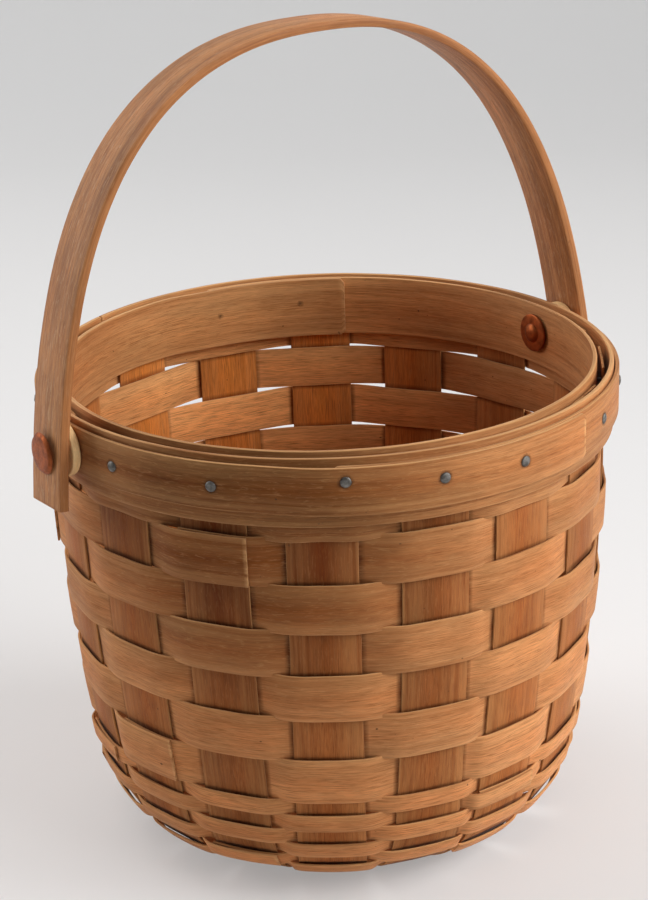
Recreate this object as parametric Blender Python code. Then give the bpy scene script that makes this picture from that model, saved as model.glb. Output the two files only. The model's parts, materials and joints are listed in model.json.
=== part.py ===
"""Round splint basket with a bentwood swing handle.

Eight long splints cross under the base and stand up as sixteen stakes. Seven wide and six narrow
weavers go round them. The rim is an inner band, an outer band and a lapped hoop, nailed through the
stakes. The handle turns on two copper rivets, each with a wooden spacer outside and a washer inside.

Frame: metres, +Z up, origin on the ground under the middle of the base, +X along the handle's pivots.
"""

import math

import bmesh
import bpy
from mathutils import Matrix, Vector

MM = 0.001

# Driving dimensions
rim_diameter = 228.6 * MM          # over the hoop, where it is a single layer
stake_count = 16                   # two for each long splint
splint_width = 26.0 * MM
splint_thickness = 0.8 * MM
weaver_thickness = 0.8 * MM
wide_row_pitch = 18.4 * MM         # from one wide weaver to the next, along the wall
wide_row_count = 7
narrow_row_pitch = 7.0 * MM
narrow_row_count = 6
row_gap = 0.4 * MM                 # between the edges of neighbouring weavers
seat_gap = 0.3 * MM                # between faces that touch on the real basket

# The wall, as the middle of the stakes follows it down from the rim
first_row_depth = 13.8 * MM        # top of the highest weaver below the rim
stake_top_depth = 2.5 * MM         # top of the stakes below the rim
straight_depth = 27.0 * MM         # the wall is upright behind the rim
narrow_rows_on_wall = 15.0 * MM    # of the narrow rows' reach before the corner starts
foot_lean = math.radians(9.5)      # lean of the wall where the corner starts
corner_radius = 42.0 * MM

# The crossing under the base
level_step_depth = splint_thickness + seat_gap
pair_blend_length = 11.0 * MM      # over which every second splint rises one level
pile_radius = 41.5 * MM            # inside this the splints lie in one pile, each on its own level
pile_blend_length = 19.0 * MM      # over which they come down from it
# Each splint as it was laid in by hand: how far it is turned from an even spread, as a share of the
# turn from stake to stake, and how far it passes beside the middle, as a share of its width
splint_turn_shares = (0.033, 0.042, 0.002, -0.011, -0.040, -0.062, -0.022, -0.002)
splint_aside_shares = (0.033, 0.090, 0.119, 0.127, 0.250, 0.250, 0.165, 0.054)

# Rim
inner_band_width = 25.4 * MM
inner_band_thickness = 1.8 * MM
outer_band_width = 26.0 * MM
outer_band_thickness = 1.8 * MM
outer_band_drop = 0.3 * MM         # its top below the inner band's
hoop_width = 17.9 * MM
hoop_thickness = 1.6 * MM
hoop_drop = 2.6 * MM
band_end_gap = 0.6 * MM            # where the ends of the outer band meet
rim_steps = 64                     # flat faces round a full turn of a band

# Places round the basket, in degrees from +X
first_stake_angle = 12.0
hoop_inner_end_angle = -122.2
hoop_outer_end_angle = -68.3
hoop_climb_angle = 14.0            # turn in which the hoop rises over its own inner end
inner_band_end_angle = 52.5
inner_band_lap_angle = 34.0
inner_band_climb_angle = 12.0
outer_band_end_angle = 115.0

# Handle
handle_width = 22.8 * MM
handle_top_thickness = 3.3 * MM
handle_leg_thickness = 4.0 * MM
handle_top_height = 142.9 * MM     # over the pivots
handle_ear_length = 20.0 * MM      # below the pivots
handle_foot_depth = 300.0 * MM     # centre of its curve below the pivots
handle_side_power = 2.31
handle_crown_power = 5.58
handle_edge_round = 0.9 * MM
handle_thickness_power = 4         # how late the handle thins from its legs to its top
handle_lean = math.radians(2.85)    # it stands a little towards +Y
handle_steps = 44

# Pivots
pivot_depth = 12.0 * MM            # below the rim
rivet_head_diameter = 16.0 * MM
rivet_head_thickness = 1.5 * MM
rivet_head_flat_share = 0.6        # of its radius, for the nearly flat top
rivet_head_edge_share = 0.5        # of its thickness, for the upright edge
rivet_head_shoulder_share = 0.85
rivet_shank_diameter = 4.5 * MM
rivet_peen_diameter = 8.0 * MM
rivet_peen_height = 1.6 * MM
spacer_diameter = 21.0 * MM
spacer_thickness = 3.4 * MM
spacer_edge_round = 0.5 * MM
washer_diameter = 16.0 * MM
washer_thickness = 1.1 * MM
turning_gap = 0.3 * MM             # between the rivet's shank and what it passes through
round_sides = 24
cut_overrun = 5.0 * MM             # of every hole's cutter past what it cuts

# Nails, one through each stake
nail_head_diameter = 4.2 * MM
nail_head_height = 1.0 * MM
nail_shank_diameter = 1.5 * MM
nail_hole_gap = 0.25 * MM
nail_head_flat_share = 0.6         # of its radius, for the flat on top
nail_head_edge_share = 0.3         # of its height, for the upright edge
nail_head_shoulder_share = 0.8
nail_sides = 8
# Each nail's place, stake by stake: its share of the way from the stake's middle to its edge,
# and its share of the way down the hoop
nail_side_shares = (0.70, 0.61, 0.74, 0.46, 0.34, -0.31, 0.54, -0.46,
                    0.18, 0.21, 0.73, 0.08, -0.53, 0.36, -0.38, 0.68)
nail_drop_shares = (0.46, 0.49, 0.44, 0.52, 0.46, 0.55, 0.49, 0.46,
                    0.53, 0.51, 0.29, 0.42, 0.48, 0.54, 0.44, 0.49)

# Weavers: how far each bows out between the edges of a stake, and how its lapped end clears the first
over_bow = 0.8 * MM
hidden_bow = 0.15 * MM
weaver_overhang = 0.6 * MM         # a weaver runs on past the stake's edge before it crosses
lap_lead = 1.0 * MM
wide_lap_stakes = (4, 9, 6, 15, 2, 5, 8)
narrow_lap_stakes = (7, 12, 1, 6, 9, 4)

# Worked out from the sizes above
rim_radius = rim_diameter / 2
stake_turn = 2 * math.pi / stake_count
chord_share = math.cos(math.pi / rim_steps)
hoop_inner_radius = rim_radius - hoop_thickness
outer_band_outer_radius = hoop_inner_radius * chord_share - seat_gap
outer_band_inner_radius = outer_band_outer_radius - outer_band_thickness
weaver_half_run = splint_width / 2 + weaver_overhang
weaver_seat = splint_thickness / 2 + seat_gap + weaver_thickness / 2
weave_corner_radius = outer_band_inner_radius * chord_share - seat_gap
weave_outer_face = math.sqrt(weave_corner_radius ** 2 - weaver_half_run ** 2)
stake_radius = weave_outer_face - weaver_thickness / 2 - weaver_seat
inner_band_outer_radius = stake_radius - weaver_seat - weaver_thickness / 2 - seat_gap - hidden_bow
inner_band_inner_radius = inner_band_outer_radius - inner_band_thickness

wide_rows_end = first_row_depth + wide_row_count * wide_row_pitch
corner_start = wide_rows_end + narrow_rows_on_wall
weave_end = wide_rows_end + narrow_row_count * narrow_row_pitch
wall_bend_radius = (corner_start - straight_depth) / foot_lean
corner_end = corner_start + corner_radius * (math.pi / 2 - foot_lean)
corner_start_radius = stake_radius - wall_bend_radius * (1 - math.cos(foot_lean))
base_radius = corner_start_radius - corner_radius * math.cos(foot_lean)
corner_height = corner_radius * (1 - math.sin(foot_lean))
rim_height = splint_thickness / 2 + corner_height + wall_bend_radius * math.sin(foot_lean) + straight_depth
pivot_height = rim_height - pivot_depth

spacer_inner_face = rim_radius + seat_gap
spacer_outer_face = spacer_inner_face + spacer_thickness

WOOD = {
    "splint": ((0.47, 0.25, 0.11, 1.0), 0.62),
    "weaver": ((0.52, 0.28, 0.12, 1.0), 0.58),
    "rim": ((0.55, 0.30, 0.13, 1.0), 0.55),
    "handle": ((0.50, 0.25, 0.10, 1.0), 0.50),
    "spacer": ((0.68, 0.42, 0.20, 1.0), 0.60),
}


def make_material(name, colour, roughness, metallic):
    material = bpy.data.materials.new(name)
    material.use_nodes = True
    shader = material.node_tree.nodes["Principled BSDF"]
    shader.inputs["Base Color"].default_value = colour
    shader.inputs["Roughness"].default_value = roughness
    shader.inputs["Metallic"].default_value = metallic
    material.diffuse_color = colour
    return material


def make_materials():
    materials = {}
    for name, (colour, roughness) in WOOD.items():
        materials[name] = make_material(name, colour, roughness, 0.0)
    materials["copper"] = make_material("copper", (0.42, 0.17, 0.10, 1.0), 0.38, 1.0)
    materials["nail_steel"] = make_material("nail_steel", (0.35, 0.36, 0.38, 1.0), 0.42, 1.0)
    return materials


def new_object(name, bm, material, smooth=False):
    bmesh.ops.recalc_face_normals(bm, faces=bm.faces)
    mesh = bpy.data.meshes.new(name)
    bm.to_mesh(mesh)
    bm.free()
    if smooth:
        mesh.shade_smooth()
        mesh.set_sharp_from_angle(angle=math.radians(35))
    mesh.materials.append(material)
    piece = bpy.data.objects.new(name, mesh)
    bpy.context.scene.collection.objects.link(piece)
    return piece


def skin_sections(sections):
    """A closed solid through a row of sections, each the same number of corners.

    The strips twist between sections, so each four-cornered face is split the same way.
    """
    bm = bmesh.new()
    rings = []
    for section in sections:
        rings.append([bm.verts.new(corner) for corner in section])
    sides = len(rings[0])
    for ring, following in zip(rings[:-1], rings[1:]):
        for i in range(sides):
            j = (i + 1) % sides
            bm.faces.new((ring[i], ring[j], following[j]))
            bm.faces.new((ring[i], following[j], following[i]))
    bm.faces.new(rings[0][::-1])
    bm.faces.new(rings[-1])
    return bm


def turned_solid(outline, sides):
    """A solid turned about X from (x, radius) points. Points on the axis close it."""
    bm = bmesh.new()
    rings = []
    for x, radius in outline:
        if radius == 0:
            rings.append([bm.verts.new((x, 0, 0))])
            continue
        ring = []
        for i in range(sides):
            turn = 2 * math.pi * i / sides
            ring.append(bm.verts.new((x, radius * math.cos(turn), radius * math.sin(turn))))
        rings.append(ring)
    pairs = list(zip(rings[:-1], rings[1:]))
    if outline[0][1] > 0 and outline[-1][1] > 0:
        pairs.append((rings[-1], rings[0]))
    for ring, following in pairs:
        for i in range(sides):
            j = (i + 1) % sides
            corners = [ring[i % len(ring)], ring[j % len(ring)],
                       following[j % len(following)], following[i % len(following)]]
            distinct = list(dict.fromkeys(corners))
            bm.faces.new(distinct)
    return bm


def wall_point(depth):
    """Radius, height and lean of the stakes' middle, at a depth measured down the wall."""
    if depth <= straight_depth:
        return stake_radius, rim_height - depth, 0.0
    if depth <= corner_start:
        lean = (depth - straight_depth) / wall_bend_radius
        radius = stake_radius - wall_bend_radius * (1 - math.cos(lean))
        height = rim_height - straight_depth - wall_bend_radius * math.sin(lean)
        return radius, height, lean
    if depth <= corner_end:
        lean = foot_lean + (depth - corner_start) / corner_radius
        radius = base_radius + corner_radius * math.cos(lean)
        height = splint_thickness / 2 + corner_radius * (1 - math.sin(lean))
        return radius, height, lean
    return base_radius - (depth - corner_end), splint_thickness / 2, math.pi / 2


def row_edges():
    """Depths of the borders between the weavers, from the highest border to the lowest."""
    edges = [first_row_depth + i * wide_row_pitch for i in range(wide_row_count + 1)]
    edges += [wide_rows_end + (i + 1) * narrow_row_pitch for i in range(narrow_row_count)]
    return edges


def ease(share):
    """Runs smoothly from 0 to 1."""
    share = min(max(share, 0.0), 1.0)
    return share * share * (3 - 2 * share)


def splint_angle(splint):
    return math.radians(first_stake_angle) + (splint + splint_turn_shares[splint]) * stake_turn


def stake_angle(stake, radius=stake_radius):
    """Where a stake stands, at a radius: its splint passes beside the axis, not through it."""
    splint_count = stake_count // 2
    splint = stake % splint_count
    aside = math.asin(splint_aside_shares[splint] * splint_width / radius)
    if stake // splint_count % 2 == 0:
        return splint_angle(splint) + aside
    return splint_angle(splint) + math.pi - aside


def splint_level(splint):
    """Place of a splint in the pile: every second one lies below all the others."""
    half = stake_count // 4
    if splint % 2 == 0:
        return splint // 2
    return half + splint // 2


def splint_depths():
    """Where the wall of a splint has its corners: at the weavers' borders, then round to the middle."""
    depths = [stake_top_depth] + row_edges()
    corner_part = corner_end - weave_end
    corner_steps = 6
    depths += [weave_end + corner_part * (i + 1) / corner_steps for i in range(corner_steps)]
    pile_end = corner_end + base_radius - pile_radius
    base_steps = 6
    depths += [corner_end + (pile_end - corner_end) * (i + 1) / base_steps for i in range(base_steps)]
    return depths


def splint_rise(splint, depth):
    """How far a splint lies in from the common wall, where splints cross under the base."""
    level = splint_level(splint)
    pair = splint % 2
    pair_share = ease((depth - weave_end) / pair_blend_length)
    run_in = corner_end + base_radius - pile_radius - depth
    pile_share = ease(1 - run_in / pile_blend_length)
    return level_step_depth * (pair * pair_share + (level - pair) * pile_share)


def splint_path(splint):
    """Half a splint, from its top to the middle of the base: points (distance from the axis, height),
    and for each the share of the turn that makes its flat face away from the axis, as the wall needs."""
    path = []
    facings = []
    for depth in splint_depths():
        radius, height, lean = wall_point(depth)
        rise = splint_rise(splint, depth)
        path.append(Vector((radius - rise * math.cos(lean), height + rise * math.sin(lean))))
        facings.append(1 - ease((depth - corner_end) / (base_radius - pile_radius)))
    return path, facings


def side_normals(path):
    """For each point of an open path, the mitred offset direction to its left."""
    normals = []
    for i, point in enumerate(path):
        before = (point - path[i - 1]).normalized() if i > 0 else None
        after = (path[i + 1] - point).normalized() if i < len(path) - 1 else None
        before = before or after
        after = after or before
        middle = (before + after).normalized()
        normal = Vector((-middle.y, middle.x))
        normals.append(normal / max(normal.dot(Vector((-before.y, before.x))), 0.5))
    return normals


def make_splint(splint, material):
    half, facings = splint_path(splint)
    mirrored = [Vector((-point.x, point.y)) for point in reversed(half)]
    path = half + mirrored
    facings += facings[::-1]
    turn = Matrix.Rotation(splint_angle(splint), 4, "Z")
    aside = splint_aside_shares[splint] * splint_width
    side = splint_width / 2
    sections = []
    for point, normal, facing in zip(path, side_normals(path), facings):
        out_turn = math.asin(aside / point.x)
        middle = Vector((point.x * math.cos(out_turn), aside, 0))
        out = Matrix.Rotation(out_turn * facing, 4, "Z")
        near = point + normal * splint_thickness / 2
        far = point - normal * splint_thickness / 2
        section = []
        for face, y in ((near, -side), (near, side), (far, side), (far, -side)):
            section.append(turn @ (middle + out @ Vector((face.x - point.x, y, face.y))))
        sections.append(section)
    return new_object(f"splint_{splint + 1}", skin_sections(sections), material)


def row_frame(top_depth, bottom_depth):
    """The flat that a weaver lies along: its two edges on the stakes' middle, and the way out."""
    top = Vector(wall_point(top_depth)[:2])
    bottom = Vector(wall_point(bottom_depth)[:2])
    down = (bottom - top).normalized()
    outward = Vector((-down.y, down.x))
    margin = down * row_gap / 2
    return top + margin, bottom - margin, outward


def weaver_section(frame, stake, run, offset):
    """Corners of a weaver's section beside a stake: run along the weaver, offset out from the stakes."""
    top, bottom, outward = frame
    turn = Matrix.Rotation(stake_angle(stake, (top.x + bottom.x) / 2), 4, "Z")
    corners = []
    for edge, face in ((top, 1), (bottom, 1), (bottom, -1), (top, -1)):
        place = edge + outward * (offset + face * weaver_thickness / 2)
        corners.append(turn @ Vector((place.x, run, place.y)))
    return corners


def make_weaver(name, top_depth, bottom_depth, first_side, lap_stake, bow, lapped, material):
    """One row: a strip that starts and ends over the same stake, its last end outside its first.

    Where it isn't lapped, its two ends meet on the stake's middle instead.
    """
    frame = row_frame(top_depth, bottom_depth)
    lift = weaver_thickness + seat_gap
    sections = []
    for step in range(stake_count + 1):
        stake = lap_stake + step
        outside = stake % 2 == first_side
        offset = weaver_seat if outside else -weaver_seat
        crown = offset + bow if outside else offset
        start = -weaver_half_run
        middle = 0
        if step == stake_count and lapped:
            offset += lift
            crown += lift
            start -= lap_lead
        elif step == stake_count:
            middle = -band_end_gap / 2
        elif step == 0 and not lapped:
            middle = band_end_gap / 2
        if step > 0 or lapped:
            sections.append(weaver_section(frame, stake, start, offset))
        sections.append(weaver_section(frame, stake, middle, crown))
        if step < stake_count or lapped:
            sections.append(weaver_section(frame, stake, weaver_half_run, offset))
    return new_object(name, skin_sections(sections), material)


def make_weavers(material):
    edges = row_edges()
    weavers = []
    for row, (top, bottom) in enumerate(zip(edges[:-1], edges[1:])):
        if row < wide_row_count:
            name = f"wide_weaver_{row + 1}"
            lap_stake = wide_lap_stakes[row]
        else:
            name = f"narrow_weaver_{row - wide_row_count + 1}"
            lap_stake = narrow_lap_stakes[row - wide_row_count]
        first_side = row % 2
        lap_stake += (lap_stake + first_side) % 2
        hidden = row == 0
        bow = hidden_bow if hidden else over_bow
        weavers.append(make_weaver(name, top, bottom, first_side, lap_stake, bow, not hidden, material))
    return weavers


def hoop_lift(angle, start, climb):
    """Share of a layer by which a lapped band has risen, at an angle past its first end in degrees."""
    return ease((angle - start + climb) / climb)


def hoop_sweep():
    return 360 + hoop_outer_end_angle - hoop_inner_end_angle


def hoop_inside(travel):
    """Inner radius of the hoop, after a travel in degrees from its inner end."""
    lift = hoop_lift(travel, 360, hoop_climb_angle)
    return hoop_inner_radius + lift * (hoop_thickness / chord_share + seat_gap)


def inner_band_outside(travel):
    """Outer radius of the inner band, after a travel in degrees from its outer end."""
    lift = hoop_lift(travel, 360, inner_band_climb_angle)
    return inner_band_outer_radius - lift * (inner_band_thickness + seat_gap) / chord_share


def make_band(name, start, sweep, inside, thickness, top, width, material):
    """A flat band that stands on edge, from start through sweep degrees, with inside(travel) its radius."""
    steps = round(sweep / 360 * rim_steps)
    sections = []
    for i in range(steps + 1):
        travel = sweep * i / steps
        turn = math.radians(start + travel)
        radius = inside(travel)
        section = []
        for r, z in ((radius, top), (radius + thickness, top),
                     (radius + thickness, top - width), (radius, top - width)):
            section.append((r * math.cos(turn), r * math.sin(turn), z))
        sections.append(section)
    return new_object(name, skin_sections(sections), material)


def make_inner_band(material):
    """Its upper end laps over the inside of its first end, at the back."""
    sweep = 360 + inner_band_lap_angle
    start = inner_band_end_angle + inner_band_lap_angle

    def inside(travel):
        return inner_band_outside(travel) - inner_band_thickness

    def backwards(travel):
        return inside(sweep - travel)

    return make_band("inner_rim_band", start - sweep, sweep, backwards, inner_band_thickness,
                     rim_height, inner_band_width, material)


def make_outer_band(material):
    gap_angle = math.degrees(band_end_gap / outer_band_inner_radius)

    def inside(travel):
        return outer_band_inner_radius

    return make_band("outer_rim_band", outer_band_end_angle, 360 - gap_angle, inside,
                     outer_band_thickness, rim_height - outer_band_drop, outer_band_width, material)


def make_hoop(material):
    return make_band("outer_rim_hoop", hoop_inner_end_angle, hoop_sweep(), hoop_inside,
                     hoop_thickness, rim_height - hoop_drop, hoop_width, material)


def handle_half_span(height):
    """Outer half width of the handle's curve for a height over the pivots, as a share of its widest."""
    share = (height + handle_foot_depth) / (handle_top_height + handle_foot_depth)
    return (1 - share ** handle_crown_power) ** (1 / handle_side_power)


def handle_curve():
    """Points (x, height over the pivots) of the handle's outer face, from the +X ear to the other."""
    leg_face = spacer_outer_face + seat_gap + handle_leg_thickness
    widest = leg_face / handle_half_span(spacer_diameter / 2)
    rise = handle_top_height + handle_foot_depth
    ear_share = (handle_foot_depth - handle_ear_length) / rise
    first_turn = math.asin(ear_share ** (handle_crown_power / 2))
    curve = []
    for i in range(handle_steps + 1):
        turn = first_turn + (math.pi - 2 * first_turn) * i / handle_steps
        across = math.copysign(abs(math.cos(turn)) ** (2 / handle_side_power), math.cos(turn))
        up = math.sin(turn) ** (2 / handle_crown_power)
        curve.append(Vector((widest * across, rise * up - handle_foot_depth)))
    return curve


def handle_section(outer, inward, thickness):
    """Eight corners: a rectangle with its four edges taken off."""
    side = handle_width / 2
    cut = handle_edge_round
    places = ((0, side - cut), (cut, side), (thickness - cut, side), (thickness, side - cut),
              (thickness, cut - side), (thickness - cut, -side), (cut, -side), (0, cut - side))
    corners = []
    for depth, y in places:
        point = outer + inward * depth
        corners.append((point.x, y, point.y))
    return corners


def make_handle(material, cutter):
    curve = handle_curve()
    widest = max(point.x for point in curve)
    sections = []
    for point, normal in zip(curve, side_normals(curve)):
        share = abs(point.x / widest) ** handle_thickness_power
        thickness = handle_top_thickness + (handle_leg_thickness - handle_top_thickness) * share
        sections.append(handle_section(point, normal.normalized(), thickness))
    handle = new_object("handle", skin_sections(sections), material)
    handle.location = (0, 0, pivot_height)
    handle.rotation_euler = (-handle_lean, 0, 0)
    cut_holes(handle, cutter)
    return handle


def make_spacer(name, side, material):
    """A wooden disc between the rim and the handle, bored for the rivet."""
    bore = rivet_shank_diameter / 2 + turning_gap
    rim = spacer_diameter / 2
    edge = spacer_edge_round
    outline = [(spacer_inner_face, bore), (spacer_inner_face, rim - edge), (spacer_inner_face + edge, rim),
               (spacer_outer_face - edge, rim), (spacer_outer_face, rim - edge), (spacer_outer_face, bore)]
    spacer = new_object(name, turned_solid(outline, round_sides), material, smooth=True)
    place_on_pivot(spacer, side)
    return spacer


def place_on_pivot(piece, side):
    """Turned pieces are made for +X. The other side's are turned half way round the basket."""
    piece.location = (0, 0, pivot_height)
    piece.rotation_euler = (0, 0, 0 if side > 0 else math.pi)


def washer_face():
    """Distance from the axis to the washer's face against the inside of the rim."""
    reach = inner_band_inner_radius * chord_share
    return math.sqrt(reach ** 2 - (washer_diameter / 2) ** 2) - seat_gap


def make_washer(name, side, material):
    bore = rivet_shank_diameter / 2 + turning_gap
    rim = washer_diameter / 2
    outer = washer_face()
    inner = outer - washer_thickness
    outline = [(inner, bore), (inner, rim), (outer, rim), (outer, bore)]
    washer = new_object(name, turned_solid(outline, round_sides), material, smooth=True)
    place_on_pivot(washer, side)
    return washer


def handle_face_at_pivot():
    """Furthest reach of the handle's outer face under the rivet's head."""
    leg_face = spacer_outer_face + seat_gap + handle_leg_thickness
    return leg_face * handle_half_span(-rivet_head_diameter / 2) / handle_half_span(spacer_diameter / 2)


def make_rivet(name, side, material):
    """Head outside the handle, shank through the rim, and an end peened over the washer."""
    shank = rivet_shank_diameter / 2
    head = rivet_head_diameter / 2
    peen = rivet_peen_diameter / 2
    seat = handle_face_at_pivot() + seat_gap
    shoulder = seat + rivet_head_thickness * rivet_head_shoulder_share
    edge = seat + rivet_head_thickness * rivet_head_edge_share
    under = washer_face() - washer_thickness - seat_gap
    outline = [(seat + rivet_head_thickness, 0), (shoulder, head * rivet_head_flat_share), (edge, head),
               (seat, head), (seat, shank), (under, shank), (under, peen)]
    dome_steps = 3
    for i in range(1, dome_steps + 1):
        turn = math.pi / 2 * i / dome_steps
        radius = peen * math.cos(turn) if i < dome_steps else 0
        outline.append((under - rivet_peen_height * math.sin(turn), radius))
    rivet = new_object(name, turned_solid(outline, round_sides), material, smooth=True)
    place_on_pivot(rivet, side)
    return rivet


def nail_angle(stake):
    return stake_angle(stake) + nail_side_shares[stake] * splint_width / rim_diameter


def nail_height(stake):
    return rim_height - hoop_drop - nail_drop_shares[stake] * hoop_width


def travel_from(start, angle):
    """Degrees from start on to an angle, less than a full turn."""
    return (math.degrees(angle) - start) % 360


def hoop_face(angle):
    """Outer radius of the rim at an angle, where the hoop may be doubled."""
    travel = travel_from(hoop_inner_end_angle, angle)
    if travel + 360 <= hoop_sweep():
        travel += 360
    return hoop_inside(travel) + hoop_thickness


def inner_face(angle):
    """Inner radius of the rim at an angle, where the inner band may be doubled."""
    start = inner_band_end_angle + inner_band_lap_angle
    travel = (start - math.degrees(angle)) % 360
    if travel <= inner_band_lap_angle:
        travel += 360
    return inner_band_outside(travel) - inner_band_thickness


def make_nail(stake, material):
    """A round head on the hoop, and a shank whose end is level with the inner band."""
    angle = nail_angle(stake)
    seat = hoop_face(angle) + seat_gap / 2
    tip = inner_face(angle)
    shank = nail_shank_diameter / 2
    head = nail_head_diameter / 2
    shoulder = seat + nail_head_height * nail_head_shoulder_share
    edge = seat + nail_head_height * nail_head_edge_share
    outline = [(seat + nail_head_height, 0), (shoulder, head * nail_head_flat_share),
               (edge, head), (seat, head), (seat, shank), (tip, shank), (tip, 0)]
    nail = new_object(f"nail_{stake + 1:02d}", turned_solid(outline, nail_sides), material, smooth=True)
    nail.location = (0, 0, nail_height(stake))
    nail.rotation_euler = (0, 0, angle)
    return nail


def radial_cutter(bm, angle, height, radius, start, end, sides):
    turn = Matrix.Translation((0, 0, height)) @ Matrix.Rotation(angle, 4, "Z")
    rings = []
    for x in (start, end):
        ring = []
        for i in range(sides):
            around = 2 * math.pi * i / sides
            corner = Vector((x, radius * math.cos(around), radius * math.sin(around)))
            ring.append(bm.verts.new(turn @ corner))
        rings.append(ring)
    for i in range(sides):
        j = (i + 1) % sides
        bm.faces.new((rings[0][i], rings[0][j], rings[1][j], rings[1][i]))
    bm.faces.new(rings[0][::-1])
    bm.faces.new(rings[1])


def as_cutter(name, bm):
    bmesh.ops.recalc_face_normals(bm, faces=bm.faces)
    mesh = bpy.data.meshes.new(name)
    bm.to_mesh(mesh)
    bm.free()
    cutter = bpy.data.objects.new(name, mesh)
    bpy.context.scene.collection.objects.link(cutter)
    cutter.hide_render = True
    cutter.display_type = "WIRE"
    return cutter


def make_nail_cutter():
    bm = bmesh.new()
    radius = nail_shank_diameter / 2 + nail_hole_gap
    start = inner_band_inner_radius - cut_overrun
    end = rim_radius + cut_overrun
    for stake in range(stake_count):
        radial_cutter(bm, nail_angle(stake), nail_height(stake), radius, start, end, nail_sides)
    return as_cutter("nail_hole_cutter", bm)


def make_rivet_cutter():
    bm = bmesh.new()
    radius = rivet_shank_diameter / 2 + turning_gap
    start = inner_band_inner_radius - cut_overrun
    end = handle_face_at_pivot() + cut_overrun
    for angle in (0, math.pi):
        radial_cutter(bm, angle, pivot_height, radius, start, end, round_sides // 2)
    return as_cutter("rivet_hole_cutter", bm)


def cut_holes(piece, cutter):
    cut = piece.modifiers.new(cutter.name, "BOOLEAN")
    cut.operation = "DIFFERENCE"
    cut.solver = "EXACT"
    cut.object = cutter


def main():
    for old in list(bpy.data.objects):
        bpy.data.objects.remove(old, do_unlink=True)
    materials = make_materials()
    nail_cutter = make_nail_cutter()
    rivet_cutter = make_rivet_cutter()

    pierced = [make_splint(splint, materials["splint"]) for splint in range(stake_count // 2)]
    pierced += make_weavers(materials["weaver"])[:1]
    pierced.append(make_inner_band(materials["rim"]))
    pierced.append(make_outer_band(materials["rim"]))
    pierced.append(make_hoop(materials["rim"]))
    for piece in pierced:
        cut_holes(piece, nail_cutter)
        cut_holes(piece, rivet_cutter)
    for stake in range(stake_count):
        make_nail(stake, materials["nail_steel"])

    make_handle(materials["handle"], rivet_cutter)
    for name, side in (("left", -1), ("right", 1)):
        make_spacer(f"{name}_spacer", side, materials["spacer"])
        make_rivet(f"{name}_rivet", side, materials["copper"])
        make_washer(f"{name}_washer", side, materials["copper"])


main()
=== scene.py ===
"""Dresses the splint basket: every strip, band, nail and rivet gets its real surface.

Metres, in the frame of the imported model: +Z up, +X along the handle's pivots.
"""

import json
import math
import random

import bmesh
import bpy
from mathutils import Matrix, Vector


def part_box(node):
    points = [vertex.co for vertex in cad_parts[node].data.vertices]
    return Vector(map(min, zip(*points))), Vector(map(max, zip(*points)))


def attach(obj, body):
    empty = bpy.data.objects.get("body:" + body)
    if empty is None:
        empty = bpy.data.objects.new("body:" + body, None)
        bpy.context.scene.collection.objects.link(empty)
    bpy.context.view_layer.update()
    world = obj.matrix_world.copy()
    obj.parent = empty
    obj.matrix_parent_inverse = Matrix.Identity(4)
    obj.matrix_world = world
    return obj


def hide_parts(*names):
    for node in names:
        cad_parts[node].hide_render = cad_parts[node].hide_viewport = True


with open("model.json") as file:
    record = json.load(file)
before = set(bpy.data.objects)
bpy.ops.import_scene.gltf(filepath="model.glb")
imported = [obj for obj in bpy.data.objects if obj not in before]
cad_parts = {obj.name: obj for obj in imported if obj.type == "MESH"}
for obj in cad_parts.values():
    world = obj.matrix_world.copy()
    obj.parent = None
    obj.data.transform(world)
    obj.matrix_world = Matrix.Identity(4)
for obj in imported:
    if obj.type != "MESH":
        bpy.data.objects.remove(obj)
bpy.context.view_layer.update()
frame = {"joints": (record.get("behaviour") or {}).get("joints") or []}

MM = 0.001

# Sizes of the stock that the basket is woven from
splint_width = 26.0 * MM
splint_thickness = 0.9 * MM
weaver_thickness = 0.9 * MM
weaver_seat = 1.1 * MM             # from the middle of a stake to the middle of a weaver on it
lap_lift = 1.1 * MM                # a lapped end lies this much further out
over_bow = 0.85 * MM
inner_bow_share = 0.35             # a weaver behind a stake bows in by this share of that
stake_give = 0.12 * MM             # a stake gives way to the weavers that pass over and under it
row_shift = 0.28 * MM              # a weaver wanders up and down by this much
row_width_share = 0.012
closest_side = math.radians(-123)  # where the rows are pushed together, so that no light shows
closest_share = 0.12
stake_count = 16
first_stake_angle = math.radians(12.0)
stake_turn = 2 * math.pi / stake_count
weaver_half_run = splint_width / 2 + 0.6 * MM
lap_lead = 1.0 * MM
hidden_bow = 0.15 * MM             # of the highest row, which is pressed flat behind the rim
row_end_gap = 0.3 * MM             # from a stake's middle to each end of the row that isn't lapped
edge_cup_share = 0.4               # of a weaver's cup, where it passes the edge of a stake

# Each splint as it was laid in by hand: its turn from an even spread, as a share of the turn from
# stake to stake, and how far it passes beside the middle, as a share of its width
splint_turn_shares = (0.033, 0.042, 0.002, -0.011, -0.040, -0.062, -0.022, -0.002)
splint_aside_shares = (0.033, 0.090, 0.119, 0.127, 0.250, 0.250, 0.165, 0.054)

# The rows, measured down the wall from the rim
first_row_depth = 13.8 * MM
wide_row_pitch = 18.4 * MM
wide_row_count = 7
narrow_row_pitch = 7.0 * MM
narrow_row_count = 6
wide_row_gap = 0.8 * MM
narrow_row_gap = 0.35 * MM
wide_rows_end = first_row_depth + wide_row_count * wide_row_pitch
weave_end = wide_rows_end + narrow_row_count * narrow_row_pitch
wide_lap_stakes = (4, 9, 6, 15, 2, 5, 8)
narrow_lap_stakes = (7, 12, 1, 6, 9, 4)

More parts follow.
